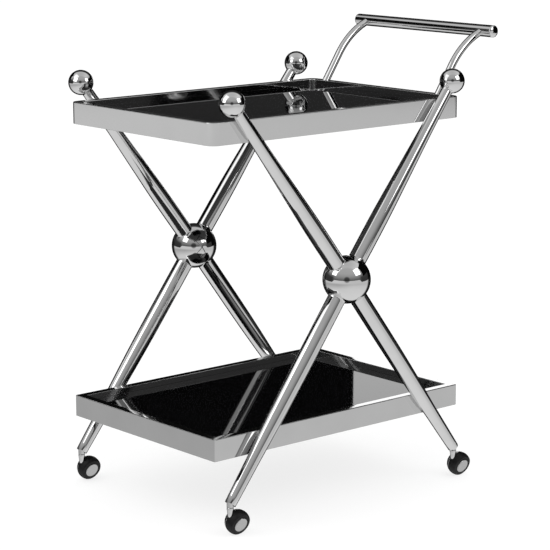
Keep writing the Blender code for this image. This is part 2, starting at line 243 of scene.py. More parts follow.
# Back-painted float glass: deep even black under a hard clean mirror, with faint wiping marks,
# about 80 mm long and 18 mm wide.
black_glass, tree, shader = new_material("back_painted_float_glass", IOR=1.52, Metallic=0.0)
shader.inputs["Base Color"].default_value = srgb("#070708")
place = add_node(tree, "ShaderNodeTexCoord").outputs["Object"]
stretched = add_node(tree, "ShaderNodeMapping", {"Vector": place, "Scale": (3.0, 14.0, 3.0)})
wiping = add_node(tree, "ShaderNodeTexNoise", {"Vector": stretched.outputs["Vector"], "Scale": 4.0,
                                               "Detail": 4.0})
rough = add_node(tree, "ShaderNodeMapRange", {"Value": wiping.outputs["Fac"], "To Min": 0.012,
                                              "To Max": 0.045})
link(tree, rough.outputs["Result"], shader, "Roughness")


def cut_glass(level, radius):
    """Round a rectangle's corners, raise it to the glass's thickness and polish its edges off."""
    low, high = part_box(f"{level}_tray_glass")
    centre = (Vector(low) + Vector(high)) / 2
    half = (Vector(high) - Vector(low)) / 2
    glass = new_piece(f"{level}_glass")
    bpy.ops.mesh.primitive_plane_add(size=2, location=(centre.x, centre.y, low[2]))
    bpy.ops.transform.resize(value=(half.x, half.y, 1), center_override=(centre.x, centre.y, low[2]))
    bpy.ops.mesh.bevel(offset=radius, segments=CORNER_SEGMENTS, affect="VERTICES")
    bpy.ops.mesh.extrude_region_move(TRANSFORM_OT_translate={"value": (0, 0, half.z * 2)})
    bpy.ops.mesh.select_all(action="DESELECT")
    bpy.ops.mesh.edges_select_sharp(sharpness=math.radians(SHARP_EDGE))
    bpy.ops.mesh.bevel(offset=ARRIS, segments=2)
    face_outwards(glass)
    smooth_shading(glass)
    apply_modifier(glass, "WEIGHTED_NORMAL", keep_sharp=True, weight=100)
    fit(glass, "frame", "black_glass", black_glass, f"{level}_tray_glass")


cut_glass("upper", UPPER_INNER_RADIUS)
cut_glass("lower", LOWER_INNER_RADIUS + CORNER_EASE)


# The side frames' legs. Each is a steel tube, full size at the hub and swaged thinner towards
# its far end, welded into the hub ball with a small ground fillet and then chrome plated.
HUB_RADIUS = 0.048
FINIAL_RADIUS = 0.0256
LEG_RADIUS = 0.01825
LEG_WALL = 0.0015
FILLET = 0.0011
# The fillet's outline, as (out from the tube, up from the ball) in fillet sizes.
FILLET_STEPS = ((1.0, -0.08), (0.48, 0.42), (0.18, 0.95), (0.04, 1.5))
FILLET_SINK = 0.35
# The stub of tube that runs on inside a ball, with its share of the tube's radius.
STUB_LENGTH = 0.002
STUB_SHARE = 0.9
HUB_CLEAR = 0.004
FINIAL_CLEAR = 0.003
FOOT_CLEAR = 0.0006
TAPER_RINGS = 30
FOOT_BORE_DEPTH = 0.022
LEG_SIDES = 72
FINIAL_FROM_HUB = Vector((0.2895, -0.0015, 0.3717))
FOOT_Z = 0.0641
UPPER_TAPER = ((0.0, 1.0), (0.3, 1.0), (0.5, 0.885), (0.7, 0.745), (0.85, 0.67), (1.0, 0.615))
LOWER_TAPER = ((0.0, 1.0), (0.4, 0.985), (0.6, 0.90), (0.8, 0.74), (0.9, 0.69), (1.0, 0.63))
CORNERS = [(end, side) for end in ("front", "rear") for side in ("left", "right")]
WAY = {"front": -1, "rear": 1, "left": -1, "right": 1}

# Bright chrome on buffed steel tube: a neutral mirror, nearly flawless, with the slightest
# orange-peel waviness along the tube and 30 mm patches of haze from handling.
chrome, tree, shader = new_material("bright_chrome_plate", Metallic=1.0)
place = add_node(tree, "ShaderNodeTexCoord").outputs["Object"]
haze = add_node(tree, "ShaderNodeTexNoise", {"Vector": place, "Scale": 30.0, "Detail": 4.0})
rough = add_node(tree, "ShaderNodeMapRange", {"Value": haze.outputs["Fac"], "To Min": 0.02, "To Max": 0.06})
link(tree, rough.outputs["Result"], shader, "Roughness")
tone = add_node(tree, "ShaderNodeValToRGB", {"Fac": haze.outputs["Fac"]})
tone.color_ramp.elements[0].color = srgb("#D7D7D7")
tone.color_ramp.elements[1].color = srgb("#E3E3E3")
link(tree, tone.outputs["Color"], shader, "Base Color")
# Orange peel of about 12 mm and a few thousandths of a millimetre.
peel = add_node(tree, "ShaderNodeTexNoise", {"Vector": place, "Scale": 80.0, "Detail": 1.0})
bump = add_node(tree, "ShaderNodeBump", {"Height": peel.outputs["Fac"], "Strength": 0.3, "Distance": 0.00002})
link(tree, bump.outputs["Normal"], shader, "Normal")


def smooth_taper(knots, share):
    """The taper at a share of the leg's length, on a smooth curve through its knots."""
    index = max(i for i in range(len(knots) - 1) if share >= knots[i][0])
    near, far = knots[index], knots[index + 1]
    before = knots[max(index - 1, 0)]
    after = knots[min(index + 2, len(knots) - 1)]
    span = far[0] - near[0]
    t = (share - near[0]) / span
    slope_in = (far[1] - before[1]) / (far[0] - before[0]) * span
    slope_out = (after[1] - near[1]) / (after[0] - near[0]) * span
    return ((2 * t ** 3 - 3 * t ** 2 + 1) * near[1] + (t ** 3 - 2 * t ** 2 + t) * slope_in
            + (3 * t ** 2 - 2 * t ** 3) * far[1] + (t ** 3 - t ** 2) * slope_out)


def turn(name, outline, sides=64, ring=False, degrees=30):
    """Turn an outline of (radius, height) round Z from a circle that is extruded and resized.

    A ring's outline comes back to its start; any other is closed with a flat face at each end.
    """
    piece = new_piece(name)
    radius, height = outline[0]
    bpy.ops.mesh.primitive_circle_add(vertices=sides, radius=radius, location=(0, 0, height),
                                      fill_type="NOTHING" if ring else "TRIFAN")
    for next_radius, next_height in outline[1:] + (outline[:1] if ring else []):
        if radius == outline[0][0] and height == outline[0][1] and not ring:
            bpy.ops.mesh.region_to_loop()
        bpy.ops.mesh.extrude_region_move(TRANSFORM_OT_translate={"value": (0, 0, next_height - height)})
        scale = next_radius / radius
        bpy.ops.transform.resize(value=(scale, scale, 1), center_override=(0, 0, next_height))
        radius, height = next_radius, next_height
    if not ring:
        bpy.ops.mesh.edge_face_add()
    bpy.ops.mesh.select_all(action="SELECT")
    bpy.ops.mesh.remove_doubles(threshold=1e-7)
    face_outwards(piece)
    smooth_shading(piece, degrees)
    return piece


def along(start, direction):
    """The placing that puts a piece made along Z at a start point, pointing in a direction."""
    turning = Vector((0, 0, 1)).rotation_difference(Vector(direction))
    return Matrix.Translation(start) @ turning.to_matrix().to_4x4()


def copy_to(pattern, name, placing):
    """A copy of a pattern piece with its own mesh, put in place in the mesh itself."""
    piece = pattern.copy()
    piece.data = pattern.data.copy()
    piece.name = piece.data.name = name
    bpy.context.collection.objects.link(piece)
    piece.data.transform(placing)
    return piece


def discard(*patterns):
    for pattern in patterns:
        bpy.data.objects.remove(pattern)


def ball_circle(ball_radius, ring_radius):
    """How far from a ball's middle its surface has a given radius round the axis."""
    return math.sqrt(ball_radius ** 2 - ring_radius ** 2)


def leg_rings(knots, length, first, last, count):
    """(radius, height) of evenly spaced rings along a tapered leg."""
    rings = []
    for step in range(count + 1):
        height = first + (last - first) * step / count
        rings.append((LEG_RADIUS * smooth_taper(knots, height / length), height))
    return rings


hub_side = ball_circle(HUB_RADIUS, LEG_RADIUS)
hub_fillet = [(LEG_RADIUS + FILLET * out, hub_side + FILLET * (up - FILLET_SINK)) for out, up in FILLET_STEPS]
hub_end = [(LEG_RADIUS * STUB_SHARE, hub_side - STUB_LENGTH)] + hub_fillet

upper_length = FINIAL_FROM_HUB.length
finial_ring = LEG_RADIUS * smooth_taper(UPPER_TAPER, 1 - FINIAL_RADIUS / upper_length)
finial_side = upper_length - ball_circle(FINIAL_RADIUS, finial_ring)
finial_fillet = [(finial_ring + FILLET * out, finial_side - FILLET * (up - FILLET_SINK))
                 for out, up in reversed(FILLET_STEPS)]
upper_outline = hub_end + leg_rings(UPPER_TAPER, upper_length, hub_side + HUB_CLEAR,
                                    finial_side - FINIAL_CLEAR, TAPER_RINGS)
upper_outline += finial_fillet + [(finial_ring * STUB_SHARE, finial_side + STUB_LENGTH)]
upper_pattern = turn("upper_leg_pattern", upper_outline, LEG_SIDES)

hubs = {}
for side in ("left", "right"):
    low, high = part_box(f"hub_ball_{side}")
    hubs[side] = (Vector(low) + Vector(high)) / 2


def foot_of(corner):
    """The middle of a leg's cut end, straight above the caster's pin."""
    pivot = joints[f"swivel_{corner}"]["pos_m"]
    return Vector((pivot[0], pivot[1], FOOT_Z))


lower_length = (foot_of("front_left") - hubs["left"]).length
foot_radius = LEG_RADIUS * LOWER_TAPER[-1][1]
lower_outline = hub_end + leg_rings(LOWER_TAPER, lower_length, hub_side + HUB_CLEAR,
                                    lower_length - FOOT_CLEAR, TAPER_RINGS)
# The cut end's two edges are filed off, and the bore runs up past the plug.
lower_outline += [(foot_radius - 0.0002, lower_length - 0.0001), (foot_radius - 0.0005, lower_length)]
lower_outline += [(foot_radius - LEG_WALL + 0.0002, lower_length),
                  (foot_radius - LEG_WALL, lower_length - 0.0003),
                  (foot_radius - LEG_WALL, lower_length - FOOT_BORE_DEPTH)]
lower_pattern = turn("lower_leg_pattern", lower_outline, LEG_SIDES)


def hub_to_finial(end, side):
    return Vector((WAY[end] * FINIAL_FROM_HUB.x, WAY[side] * FINIAL_FROM_HUB.y, FINIAL_FROM_HUB.z))


for end, side in CORNERS:
    corner = f"{end}_{side}"
    hub = hubs[side]
    upper = copy_to(upper_pattern, f"upper_tube_{corner}", along(hub, hub_to_finial(end, side)))
    fit(upper, "frame", "chrome", chrome, f"upper_leg_{corner}")
    lower = copy_to(lower_pattern, f"lower_tube_{corner}", along(hub, foot_of(corner) - hub))
    fit(lower, "frame", "chrome", chrome, f"lower_leg_{corner}")
discard(upper_pattern, lower_pattern)


# The balls. The hubs are 96 mm and the finials 51 mm hollow steel balls, spun in halves,
# welded, ground round and chrome plated with the tubes, so no seam is left to see.
def ball(name, centre, radius, segments, rings):
    """A sphere with its place put into its mesh, and every point trued to the same distance."""
    bpy.ops.object.select_all(action="DESELECT")
    bpy.ops.mesh.primitive_uv_sphere_add(segments=segments, ring_count=rings, radius=radius, location=centre)
    piece = bpy.context.object
    piece.name = piece.data.name = name
    bpy.ops.object.transform_apply(location=True, rotation=False, scale=False)
    bpy.ops.object.mode_set(mode="EDIT")
    bpy.ops.mesh.select_all(action="SELECT")
    bpy.ops.transform.tosphere(value=1.0)
    bpy.ops.object.mode_set(mode="OBJECT")
    bpy.ops.object.shade_smooth()
    return piece


for side, hub in hubs.items():
    hub_piece = ball(f"hub_{side}", hub, HUB_RADIUS, 96, 48)
    fit(hub_piece, "frame", "chrome", chrome, f"hub_ball_{side}")
for end, side in CORNERS:
    corner = f"{end}_{side}"
    finial = ball(f"finial_{corner}", hubs[side] + hub_to_finial(end, side), FINIAL_RADIUS, 72, 36)
    fit(finial, "frame", "chrome", chrome, f"finial_ball_{corner}")


# The bolts. M6 button-head screws in zinc-plated steel join each tube to each band, and two
# more come up through the rim into the handle; their heads show from below, in the fold.
BOLT_RADIUS = 0.003
HEAD_RADIUS = 0.005
HEAD_HEIGHT = 0.004
SOCKET_RADIUS = 0.0023
SOCKET_DEPTH = 0.0021
BOLT_SIDES = 24
POINT_CHAMFER = 0.0006

# Bright zinc plate with clear passivation: pale silver, softly blurred, and mottled in spots of
# about 1 mm.
zinc, tree, shader = new_material("zinc_plated_steel", Metallic=1.0)
place = add_node(tree, "ShaderNodeTexCoord").outputs["Object"]
mottle = add_node(tree, "ShaderNodeTexNoise", {"Vector": place, "Scale": 900.0, "Detail": 3.0})
rough = add_node(tree, "ShaderNodeMapRange", {"Value": mottle.outputs["Fac"], "To Min": 0.24, "To Max": 0.38})
link(tree, rough.outputs["Result"], shader, "Roughness")
tone = add_node(tree, "ShaderNodeValToRGB", {"Fac": mottle.outputs["Fac"]})
tone.color_ramp.elements[0].color = srgb("#A9ABAE")
tone.color_ramp.elements[1].color = srgb("#C9CBCE")
link(tree, tone.outputs["Color"], shader, "Base Color")


def button_bolt(length):
    """A button-head screw along Z from its head's top at 0, with a hexagon socket in the head."""
    outline = [(0.0027, 0), (0.0036, 0.0004), (0.0044, 0.0012), (0.0048, 0.0021), (HEAD_RADIUS, 0.0031),
               (HEAD_RADIUS, HEAD_HEIGHT), (BOLT_RADIUS, HEAD_HEIGHT), (BOLT_RADIUS, length - POINT_CHAMFER),
               (BOLT_RADIUS - POINT_CHAMFER, length)]
    bolt = turn("bolt_pattern", outline, BOLT_SIDES)
    socket = turn("socket_tool", [(SOCKET_RADIUS, -0.001), (SOCKET_RADIUS, SOCKET_DEPTH)], 6)
    apply_modifier(bolt, "BOOLEAN", object=socket, operation="DIFFERENCE", solver="EXACT")
    smooth_shading(bolt)
    discard(socket)
    return bolt


def fasten(node, direction):
    """Put a bolt in place of a CAD one, with its head at the end that the direction comes from."""
    low, high = (Vector(corner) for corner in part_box(node))
    direction = Vector(direction)
    middle = (low + high) / 2
    length = abs((high - low).dot(direction))
    pattern = button_bolt(length)
    bolt = copy_to(pattern, node.replace("bolt", "screw"), along(middle - direction * length / 2, direction))
    discard(pattern)
    fit(bolt, "frame", "steel", zinc, node)


for side in ("left", "right"):
    for level in ("upper", "lower"):
        for end in ("front", "rear"):
            fasten(f"tray_bolt_{level}_{end}_{side}", (0, WAY[side], 0))
    fasten(f"handle_bolt_{side}", (0, 0, 1))


# The handle. A 25.4 mm chromed bar with domed end plugs is welded on two 16 mm rods, each
# pulled round a former from 56 degrees at the rim to 18 degrees where it meets the bar.
ARM_RADIUS = 0.008
ARM_SIDES = 40
ARM_BEND_STEPS = 28
# Spare length below the rim, which the level cut takes off.
ARM_SPARE = 0.016
ARM_CUT_ABOVE_RIM = 0.0001
ARM_LOW = math.radians(56)
ARM_HIGH = math.radians(18)
ARM_BASE_FROM_TRAY = Vector((0.318, 0.173))
BAR_FROM_TRAY_X = 0.445
BAR_RADIUS = 0.0127
BAR_SIDES = 56
BAR_EDGE = 0.0004
BAR_DOME = 0.005
# Where the domed plug's rings stand, as angles up from its rim.
DOME_ANGLES = (0.0, 0.2, 0.4, 0.6, 0.8, 1.0, 1.2, 1.4, 1.5)

low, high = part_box("upper_tray_band")
tray_x = (low[0] + high[0]) / 2
rim_z = high[2]
low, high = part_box("handle_bar")
bar_z = (low[2] + high[2]) / 2
bar_half = (high[1] - low[1]) / 2
bar_x = tray_x + BAR_FROM_TRAY_X


def bend_arm(name, sy):
    """Extrude a circle along the straight, spin it round the bend, and cut its foot level."""
    rise = bar_z - rim_z
    reach = BAR_FROM_TRAY_X - ARM_BASE_FROM_TRAY.x
    bend_x = math.sin(ARM_LOW) - math.sin(ARM_HIGH)
    bend_z = math.cos(ARM_HIGH) - math.cos(ARM_LOW)
    bend = ((rise * math.cos(ARM_LOW) - reach * math.sin(ARM_LOW))
            / (bend_z * math.cos(ARM_LOW) - bend_x * math.sin(ARM_LOW)))
    straight = (reach - bend * bend_x) / math.cos(ARM_LOW)
    heading = Vector((math.cos(ARM_LOW), 0, math.sin(ARM_LOW)))
    base = Vector((tray_x + ARM_BASE_FROM_TRAY.x, sy * ARM_BASE_FROM_TRAY.y, rim_z))
    start = base - heading * ARM_SPARE
    arm = new_piece(name)
    bpy.ops.mesh.primitive_circle_add(vertices=ARM_SIDES, radius=ARM_RADIUS, location=start,
                                      rotation=(0, math.pi / 2 - ARM_LOW, 0))
    bpy.ops.mesh.extrude_region_move(TRANSFORM_OT_translate={"value": heading * (straight + ARM_SPARE)})
    corner = base + heading * straight
    middle = corner + Vector((math.sin(ARM_LOW), 0, -math.cos(ARM_LOW))) * bend
    bpy.ops.mesh.spin(steps=ARM_BEND_STEPS, angle=ARM_LOW - ARM_HIGH, center=middle, axis=(0, -1, 0))
    bpy.ops.mesh.select_all(action="SELECT")
    bpy.ops.mesh.bisect(plane_co=(base.x, base.y, rim_z + ARM_CUT_ABOVE_RIM), plane_no=(0, 0, 1),
                        clear_inner=True, use_fill=True)
    bpy.ops.mesh.select_all(action="DESELECT")
    bpy.ops.mesh.select_non_manifold()
    bpy.ops.mesh.edge_face_add()
    bpy.ops.mesh.select_all(action="SELECT")
    bpy.ops.mesh.remove_doubles(threshold=1e-6)
    face_outwards(arm)
    smooth_shading(arm)
    return arm


for side in ("left", "right"):
    arm = bend_arm(f"arm_{side}", WAY[side])
    fit(arm, "frame", "chrome", chrome, f"handle_arm_{side}")

bar_outline = [(BAR_RADIUS - 0.003, -bar_half), (BAR_RADIUS - 0.0003, -bar_half),
               (BAR_RADIUS, -bar_half + BAR_EDGE), (BAR_RADIUS, -bar_half * 0.5), (BAR_RADIUS, 0),
               (BAR_RADIUS, bar_half * 0.5), (BAR_RADIUS, bar_half - BAR_EDGE),
               (BAR_RADIUS - 0.0003, bar_half), (BAR_RADIUS - 0.003, bar_half)]
bar_pattern = turn("bar_pattern", bar_outline, BAR_SIDES)
bar = copy_to(bar_pattern, "grip_bar", along(Vector((bar_x, 0, bar_z)), (0, 1, 0)))
discard(bar_pattern)
fit(bar, "frame", "chrome", chrome, "handle_bar")

dome = [(BAR_RADIUS * math.cos(angle), BAR_EDGE + BAR_DOME * math.sin(angle)) for angle in DOME_ANGLES]
cap_outline = [(BAR_RADIUS - 0.0012, 0.0001), (BAR_RADIUS - 0.0003, 0.0001)] + dome
cap_pattern = turn("cap_pattern", cap_outline, BAR_SIDES, degrees=40)
for side in ("left", "right"):
    sy = WAY[side]
    cap = copy_to(cap_pattern, f"bar_end_{side}", along(Vector((bar_x, sy * bar_half, bar_z)), (0, sy, 0)))
    fit(cap, "frame", "chrome", chrome, f"handle_cap_{side}")
discard(cap_pattern)


# The leg sockets. A chromed plug closes each tube's foot, with an upright post that the
# caster's pin turns in; the thin dark seam under it is where the caster swivels.
PLUG_LENGTH = 0.018
PLUG_SIDES = 56
POST_RADIUS = 0.0067
POST_RISE = 0.006
POST_EDGE = 0.0004
SEAM_Z = 0.0578
GAP = 0.0003
PIN_RADIUS = 0.0035
PIN_HEIGHT = 0.0087
BORE_RADIUS = PIN_RADIUS + GAP
BORE_RUN_OUT = 0.001


def leg_plug(corner, side):
    """Join the slanting plug to the upright post, then bore them out for the caster's pin."""
    foot = foot_of(corner)
    plug_radius = foot_radius - LEG_WALL - GAP
    plug = turn(f"plug_{corner}", [(plug_radius - 0.0003, 0.0004), (plug_radius, 0.0007),
                                   (plug_radius, PLUG_LENGTH)], PLUG_SIDES)
    plug.data.transform(along(foot, hubs[side] - foot))
    bottom = SEAM_Z + GAP
    post = turn(f"post_{corner}", [(POST_RADIUS - POST_EDGE, bottom), (POST_RADIUS, bottom + POST_EDGE),
                                   (POST_RADIUS, foot.z + POST_RISE)], PLUG_SIDES)
    post.data.transform(Matrix.Translation((foot.x, foot.y, 0)))
    apply_modifier(plug, "BOOLEAN", object=post, operation="UNION", solver="EXACT")
    bore = turn(f"bore_{corner}", [(BORE_RADIUS, SEAM_Z - BORE_RUN_OUT),
                                   (BORE_RADIUS, SEAM_Z + PIN_HEIGHT + GAP)], PLUG_SIDES)
    bore.data.transform(Matrix.Translation((foot.x, foot.y, 0)))
    apply_modifier(plug, "BOOLEAN", object=bore, operation="DIFFERENCE", solver="EXACT")
    discard(post, bore)
    smooth_shading(plug)
    return plug


for end, side in CORNERS:
    corner = f"{end}_{side}"
    plug = leg_plug(corner, side)
    fit(plug, "frame", "chrome", chrome, f"leg_socket_{corner}")


# The casters' hoods. Each is a zinc die casting, polished and chromed: a waisted neck that
# runs down into a half-round hood on the inner side of the tilted wheel.
WHEEL_RADIUS = 0.025
WHEEL_ROOM = 0.0006
NECK_FACE = -0.0074
HOOD_FACE = -0.0077
HOOD_LIP = 0.0007
HOOD_BORE = 0.004
HOOD_SIDES = 72
# Outlines stop this far, in radians, short of the axis.
POLE_GAP = 0.01
pivot = Vector(joints["swivel_front_left"]["pos_m"])
spin_centre = Vector(joints["roll_front_left"]["pos_m"])
spin_axis = Vector(joints["roll_front_left"]["axis"]).normalized()


def arc(radius, start, stop, steps):
    """Points (radius, height) on a circle round the origin, for angles measured from +Z."""
    angles = [start + (stop - start) * step / steps for step in range(steps + 1)]
    return [(radius * math.sin(a), radius * math.cos(a)) for a in angles]


neck_outline = [(0.0006, -0.0215), (0.0026, -0.0206), (0.0040, -0.0190), (0.0050, -0.0165),
                (0.0055, -0.0140), (0.0058, -0.0110), (0.0061, -0.0080), (0.0064, -0.0058),
                (POST_RADIUS, -0.0040), (POST_RADIUS, -0.0007), (POST_RADIUS - POST_EDGE, -GAP),
                (PIN_RADIUS, -GAP), (PIN_RADIUS, PIN_HEIGHT)]
hood = turn("hood_pattern", neck_outline, PLUG_SIDES)
hood.data.transform(Matrix.Translation(pivot))
swing = WHEEL_RADIUS + WHEEL_ROOM
room_outline = [(0.0001, NECK_FACE), (swing * 0.5, NECK_FACE)]
room_outline += arc(swing, math.acos(NECK_FACE / swing), POLE_GAP, 24)
room = turn("room_tool", room_outline, HOOD_SIDES)
room.data.transform(along(spin_centre, spin_axis))
apply_modifier(hood, "BOOLEAN", object=room, operation="DIFFERENCE", solver="EXACT")
rim_height = HOOD_FACE - HOOD_LIP
rim_radius = ball_circle(WHEEL_RADIUS, rim_height)
shell_outline = arc(WHEEL_RADIUS, math.pi - POLE_GAP, math.acos(rim_height / WHEEL_RADIUS), 20)
shell_outline += [(rim_radius - 0.0001, HOOD_FACE - HOOD_LIP * ROUNDING_MIDDLE),
                  (rim_radius - HOOD_LIP, HOOD_FACE), (rim_radius - 0.004, HOOD_FACE),
                  (HOOD_BORE, HOOD_FACE)]
shell = turn("hood_shell", shell_outline, HOOD_SIDES)
shell.data.transform(along(spin_centre, spin_axis))
apply_modifier(hood, "BOOLEAN", object=shell, operation="UNION", solver="EXACT")
smooth_shading(hood, 35)
discard(room, shell)


# The wheels. A moulded rubber tyre, rounded like a ball, sits on a nylon core that turns on a
# 6 mm pin, and a satin aluminium disc is pressed into its open face.
TYRE_BORE = 0.0168
DISC_SEAT = 0.0148
TYRE_BACK = -0.0070
TYRE_FRONT = 0.0112
TREAD_BACK = -0.0054
TREAD_STEP = 0.0009
TREAD_RINGS = 15
CORE_RADIUS = 0.0165
CORE_BACK = -0.0068
CORE_FRONT = 0.0105
DISC_RADIUS = 0.0145
DISC_BACK = 0.0108
# The disc, crowned inside its rolled rim, as (inset from its edge, rise from its back).
DISC_PROFILE = ((0.0002, 0.0), (0.0, 0.0002), (0.0, 0.0009), (0.0003, 0.0013), (0.0010, 0.0015),
                (0.0016, 0.0014), (0.0020, 0.0012), (0.0055, 0.0014), (0.0085, 0.0017),
                (0.0115, 0.0019), (0.0139, 0.0020))
AXLE_RADIUS = 0.003
AXLE_BACK = -0.0195
AXLE_FRONT = 0.0100
BROKEN_EDGE = 0.0004

# Moulded black rubber: a soft dark sheen, with paler scuffs of about 6 mm. The mould's grain is
# drawn at 0.7 mm, coarser than it is, so that it shows.
tyre_rubber, tree, shader = new_material("moulded_black_rubber", Metallic=0.0)
shader.inputs["Specular IOR Level"].default_value = 0.22
place = add_node(tree, "ShaderNodeTexCoord").outputs["Object"]
grain = add_node(tree, "ShaderNodeTexNoise", {"Vector": place, "Scale": 1400.0, "Detail": 3.0})
dust = add_node(tree, "ShaderNodeTexNoise", {"Vector": place, "Scale": 160.0, "Detail": 4.0})
tone = add_node(tree, "ShaderNodeValToRGB", {"Fac": dust.outputs["Fac"]})
tone.color_ramp.elements[0].position = 0.35
tone.color_ramp.elements[0].color = srgb("#0C0C0D")
tone.color_ramp.elements[1].position = 0.75
tone.color_ramp.elements[1].color = srgb("#1A1A1B")
link(tree, tone.outputs["Color"], shader, "Base Color")
rough = add_node(tree, "ShaderNodeMapRange", {"Value": dust.outputs["Fac"], "To Min": 0.38, "To Max": 0.58})
link(tree, rough.outputs["Result"], shader, "Roughness")
bump = add_node(tree, "ShaderNodeBump", {"Height": grain.outputs["Fac"], "Strength": 0.5, "Distance": 0.0001})
link(tree, bump.outputs["Normal"], shader, "Normal")

# Injection-moulded nylon: plain near-black plastic. The spark-eroded grain is drawn at 0.6 mm,
# coarser than it is, so that it shows.
core_nylon, tree, shader = new_material("moulded_nylon", Metallic=0.0)
place = add_node(tree, "ShaderNodeTexCoord").outputs["Object"]
grain = add_node(tree, "ShaderNodeTexNoise", {"Vector": place, "Scale": 1800.0, "Detail": 2.0})
shader.inputs["Base Color"].default_value = srgb("#242425")
rough = add_node(tree, "ShaderNodeMapRange", {"Value": grain.outputs["Fac"], "To Min": 0.35, "To Max": 0.5})
link(tree, rough.outputs["Result"], shader, "Roughness")
bump = add_node(tree, "ShaderNodeBump", {"Height": grain.outputs["Fac"], "Strength": 0.3,
                                         "Distance": 0.00005})
link(tree, bump.outputs["Normal"], shader, "Normal")

# Satin aluminium sheet, turned and lacquered: pale even grey with a soft broad reflection. Its
# grain is drawn at 0.9 mm, coarser than it is, so that it shows.
satin_disc, tree, shader = new_material("satin_aluminium", Metallic=1.0)
place = add_node(tree, "ShaderNodeTexCoord").outputs["Object"]
brushing = add_node(tree, "ShaderNodeTexNoise", {"Vector": place, "Scale": 1100.0, "Detail": 2.0})
tone = add_node(tree, "ShaderNodeValToRGB", {"Fac": brushing.outputs["Fac"]})
tone.color_ramp.elements[0].color = srgb("#A9A9A9")
tone.color_ramp.elements[1].color = srgb("#CFCFCF")
link(tree, tone.outputs["Color"], shader, "Base Color")
rough = add_node(tree, "ShaderNodeMapRange", {"Value": brushing.outputs["Fac"], "To Min": 0.16,
                                              "To Max": 0.30})
link(tree, rough.outputs["Result"], shader, "Roughness")

tread_heights = [ring * TREAD_STEP + TREAD_BACK for ring in range(TREAD_RINGS)]
tread = [(ball_circle(WHEEL_RADIUS, height), height) for height in tread_heights]
tyre_outline = [(TYRE_BORE, TYRE_BACK), (0.0228, TYRE_BACK), (0.0236, -0.0068), (0.0241, -0.0063)] + tread
tyre_outline += [(0.02355, 0.0083), (0.0232, 0.0092), (0.0226, 0.0101), (0.0218, 0.0108),
                 (0.0208, TYRE_FRONT), (0.0194, TYRE_FRONT), (0.0189, 0.0109), (0.0182, 0.0109),
                 (0.0177, TYRE_FRONT), (DISC_SEAT + 0.0004, TYRE_FRONT + 0.0002),
                 (DISC_SEAT, TYRE_FRONT), (DISC_SEAT, DISC_BACK), (TYRE_BORE, DISC_BACK)]
tyre_pattern = turn("tyre_pattern", tyre_outline, 72, ring=True)
core_outline = [(AXLE_RADIUS + GAP, CORE_BACK), (CORE_RADIUS - BROKEN_EDGE, CORE_BACK),
                (CORE_RADIUS, CORE_BACK + BROKEN_EDGE), (CORE_RADIUS, CORE_FRONT - BROKEN_EDGE),
                (CORE_RADIUS - BROKEN_EDGE, CORE_FRONT), (AXLE_RADIUS + GAP, CORE_FRONT)]
core_pattern = turn("core_pattern", core_outline, 56, ring=True)
disc_outline = [(DISC_RADIUS - inset, DISC_BACK + rise) for inset, rise in DISC_PROFILE]
disc_pattern = turn("disc_pattern", disc_outline, 64)
axle_outline = [(AXLE_RADIUS - BROKEN_EDGE, AXLE_BACK), (AXLE_RADIUS, AXLE_BACK + BROKEN_EDGE),
                (AXLE_RADIUS, AXLE_FRONT - BROKEN_EDGE), (AXLE_RADIUS - BROKEN_EDGE, AXLE_FRONT)]
axle_pattern = turn("axle_pattern", axle_outline, 32)

for end, side in CORNERS:
    corner = f"{end}_{side}"
    roll = joints[f"roll_{corner}"]
    on_axle = along(Vector(roll["pos_m"]), Vector(roll["axis"]).normalized())
    shift = Matrix.Translation(Vector(joints[f"swivel_{corner}"]["pos_m"]) - pivot)
    casting = copy_to(hood, f"hood_{corner}", shift)
    fit(casting, f"caster_{corner}", "chrome", chrome, f"caster_hood_{corner}")
    pin = copy_to(axle_pattern, f"wheel_pin_{corner}", on_axle)
    fit(pin, f"caster_{corner}", "steel", zinc, f"axle_{corner}")
    tyre = copy_to(tyre_pattern, f"tyre_ball_{corner}", on_axle)
    fit(tyre, f"wheel_{corner}", "tyre_rubber", tyre_rubber, f"tyre_{corner}")
    core = copy_to(core_pattern, f"core_{corner}", on_axle)
    fit(core, f"wheel_{corner}", "core_plastic", core_nylon, f"wheel_core_{corner}")
    disc = copy_to(disc_pattern, f"disc_{corner}", on_axle)
    fit(disc, f"wheel_{corner}", "satin_cap", satin_disc, f"hub_cap_{corner}")
discard(hood, axle_pattern, tyre_pattern, core_pattern, disc_pattern)


# The studio: a matt white floor in a white room with five soft boxes and three black flags. The
# mirror finishes see it graded: a pale floor, dark walls that lighten upwards, a black far end.
CAMERA_PLACE = Vector((-2.9012, -3.3262, 1.3236))
CAMERA_YAW = 0.7097
CAMERA_PITCH = 0.2003
CAMERA_ROLL = -0.0021
CAMERA_LENS = 141.55

camera_data = bpy.data.cameras.new("camera")
camera_data.lens = CAMERA_LENS
camera_data.sensor_width = 36.0
camera_data.clip_end = 100.0
camera = bpy.data.objects.new("camera", camera_data)
bpy.context.collection.objects.link(camera)
camera.location = CAMERA_PLACE
turning = Matrix.Rotation(-CAMERA_YAW, 3, "Z") @ Matrix.Rotation(math.pi / 2 - CAMERA_PITCH, 3, "X")
camera.rotation_euler = (turning @ Matrix.Rotation(CAMERA_ROLL, 3, "Z")).to_euler()
bpy.context.scene.camera = camera

FLOOR_SIZE = 60
FLOOR_GLOW = 0.78
bpy.ops.object.select_all(action="DESELECT")
bpy.ops.mesh.primitive_plane_add(size=FLOOR_SIZE, location=(0, 0, 0))
floor = bpy.context.object
floor.name = "floor"
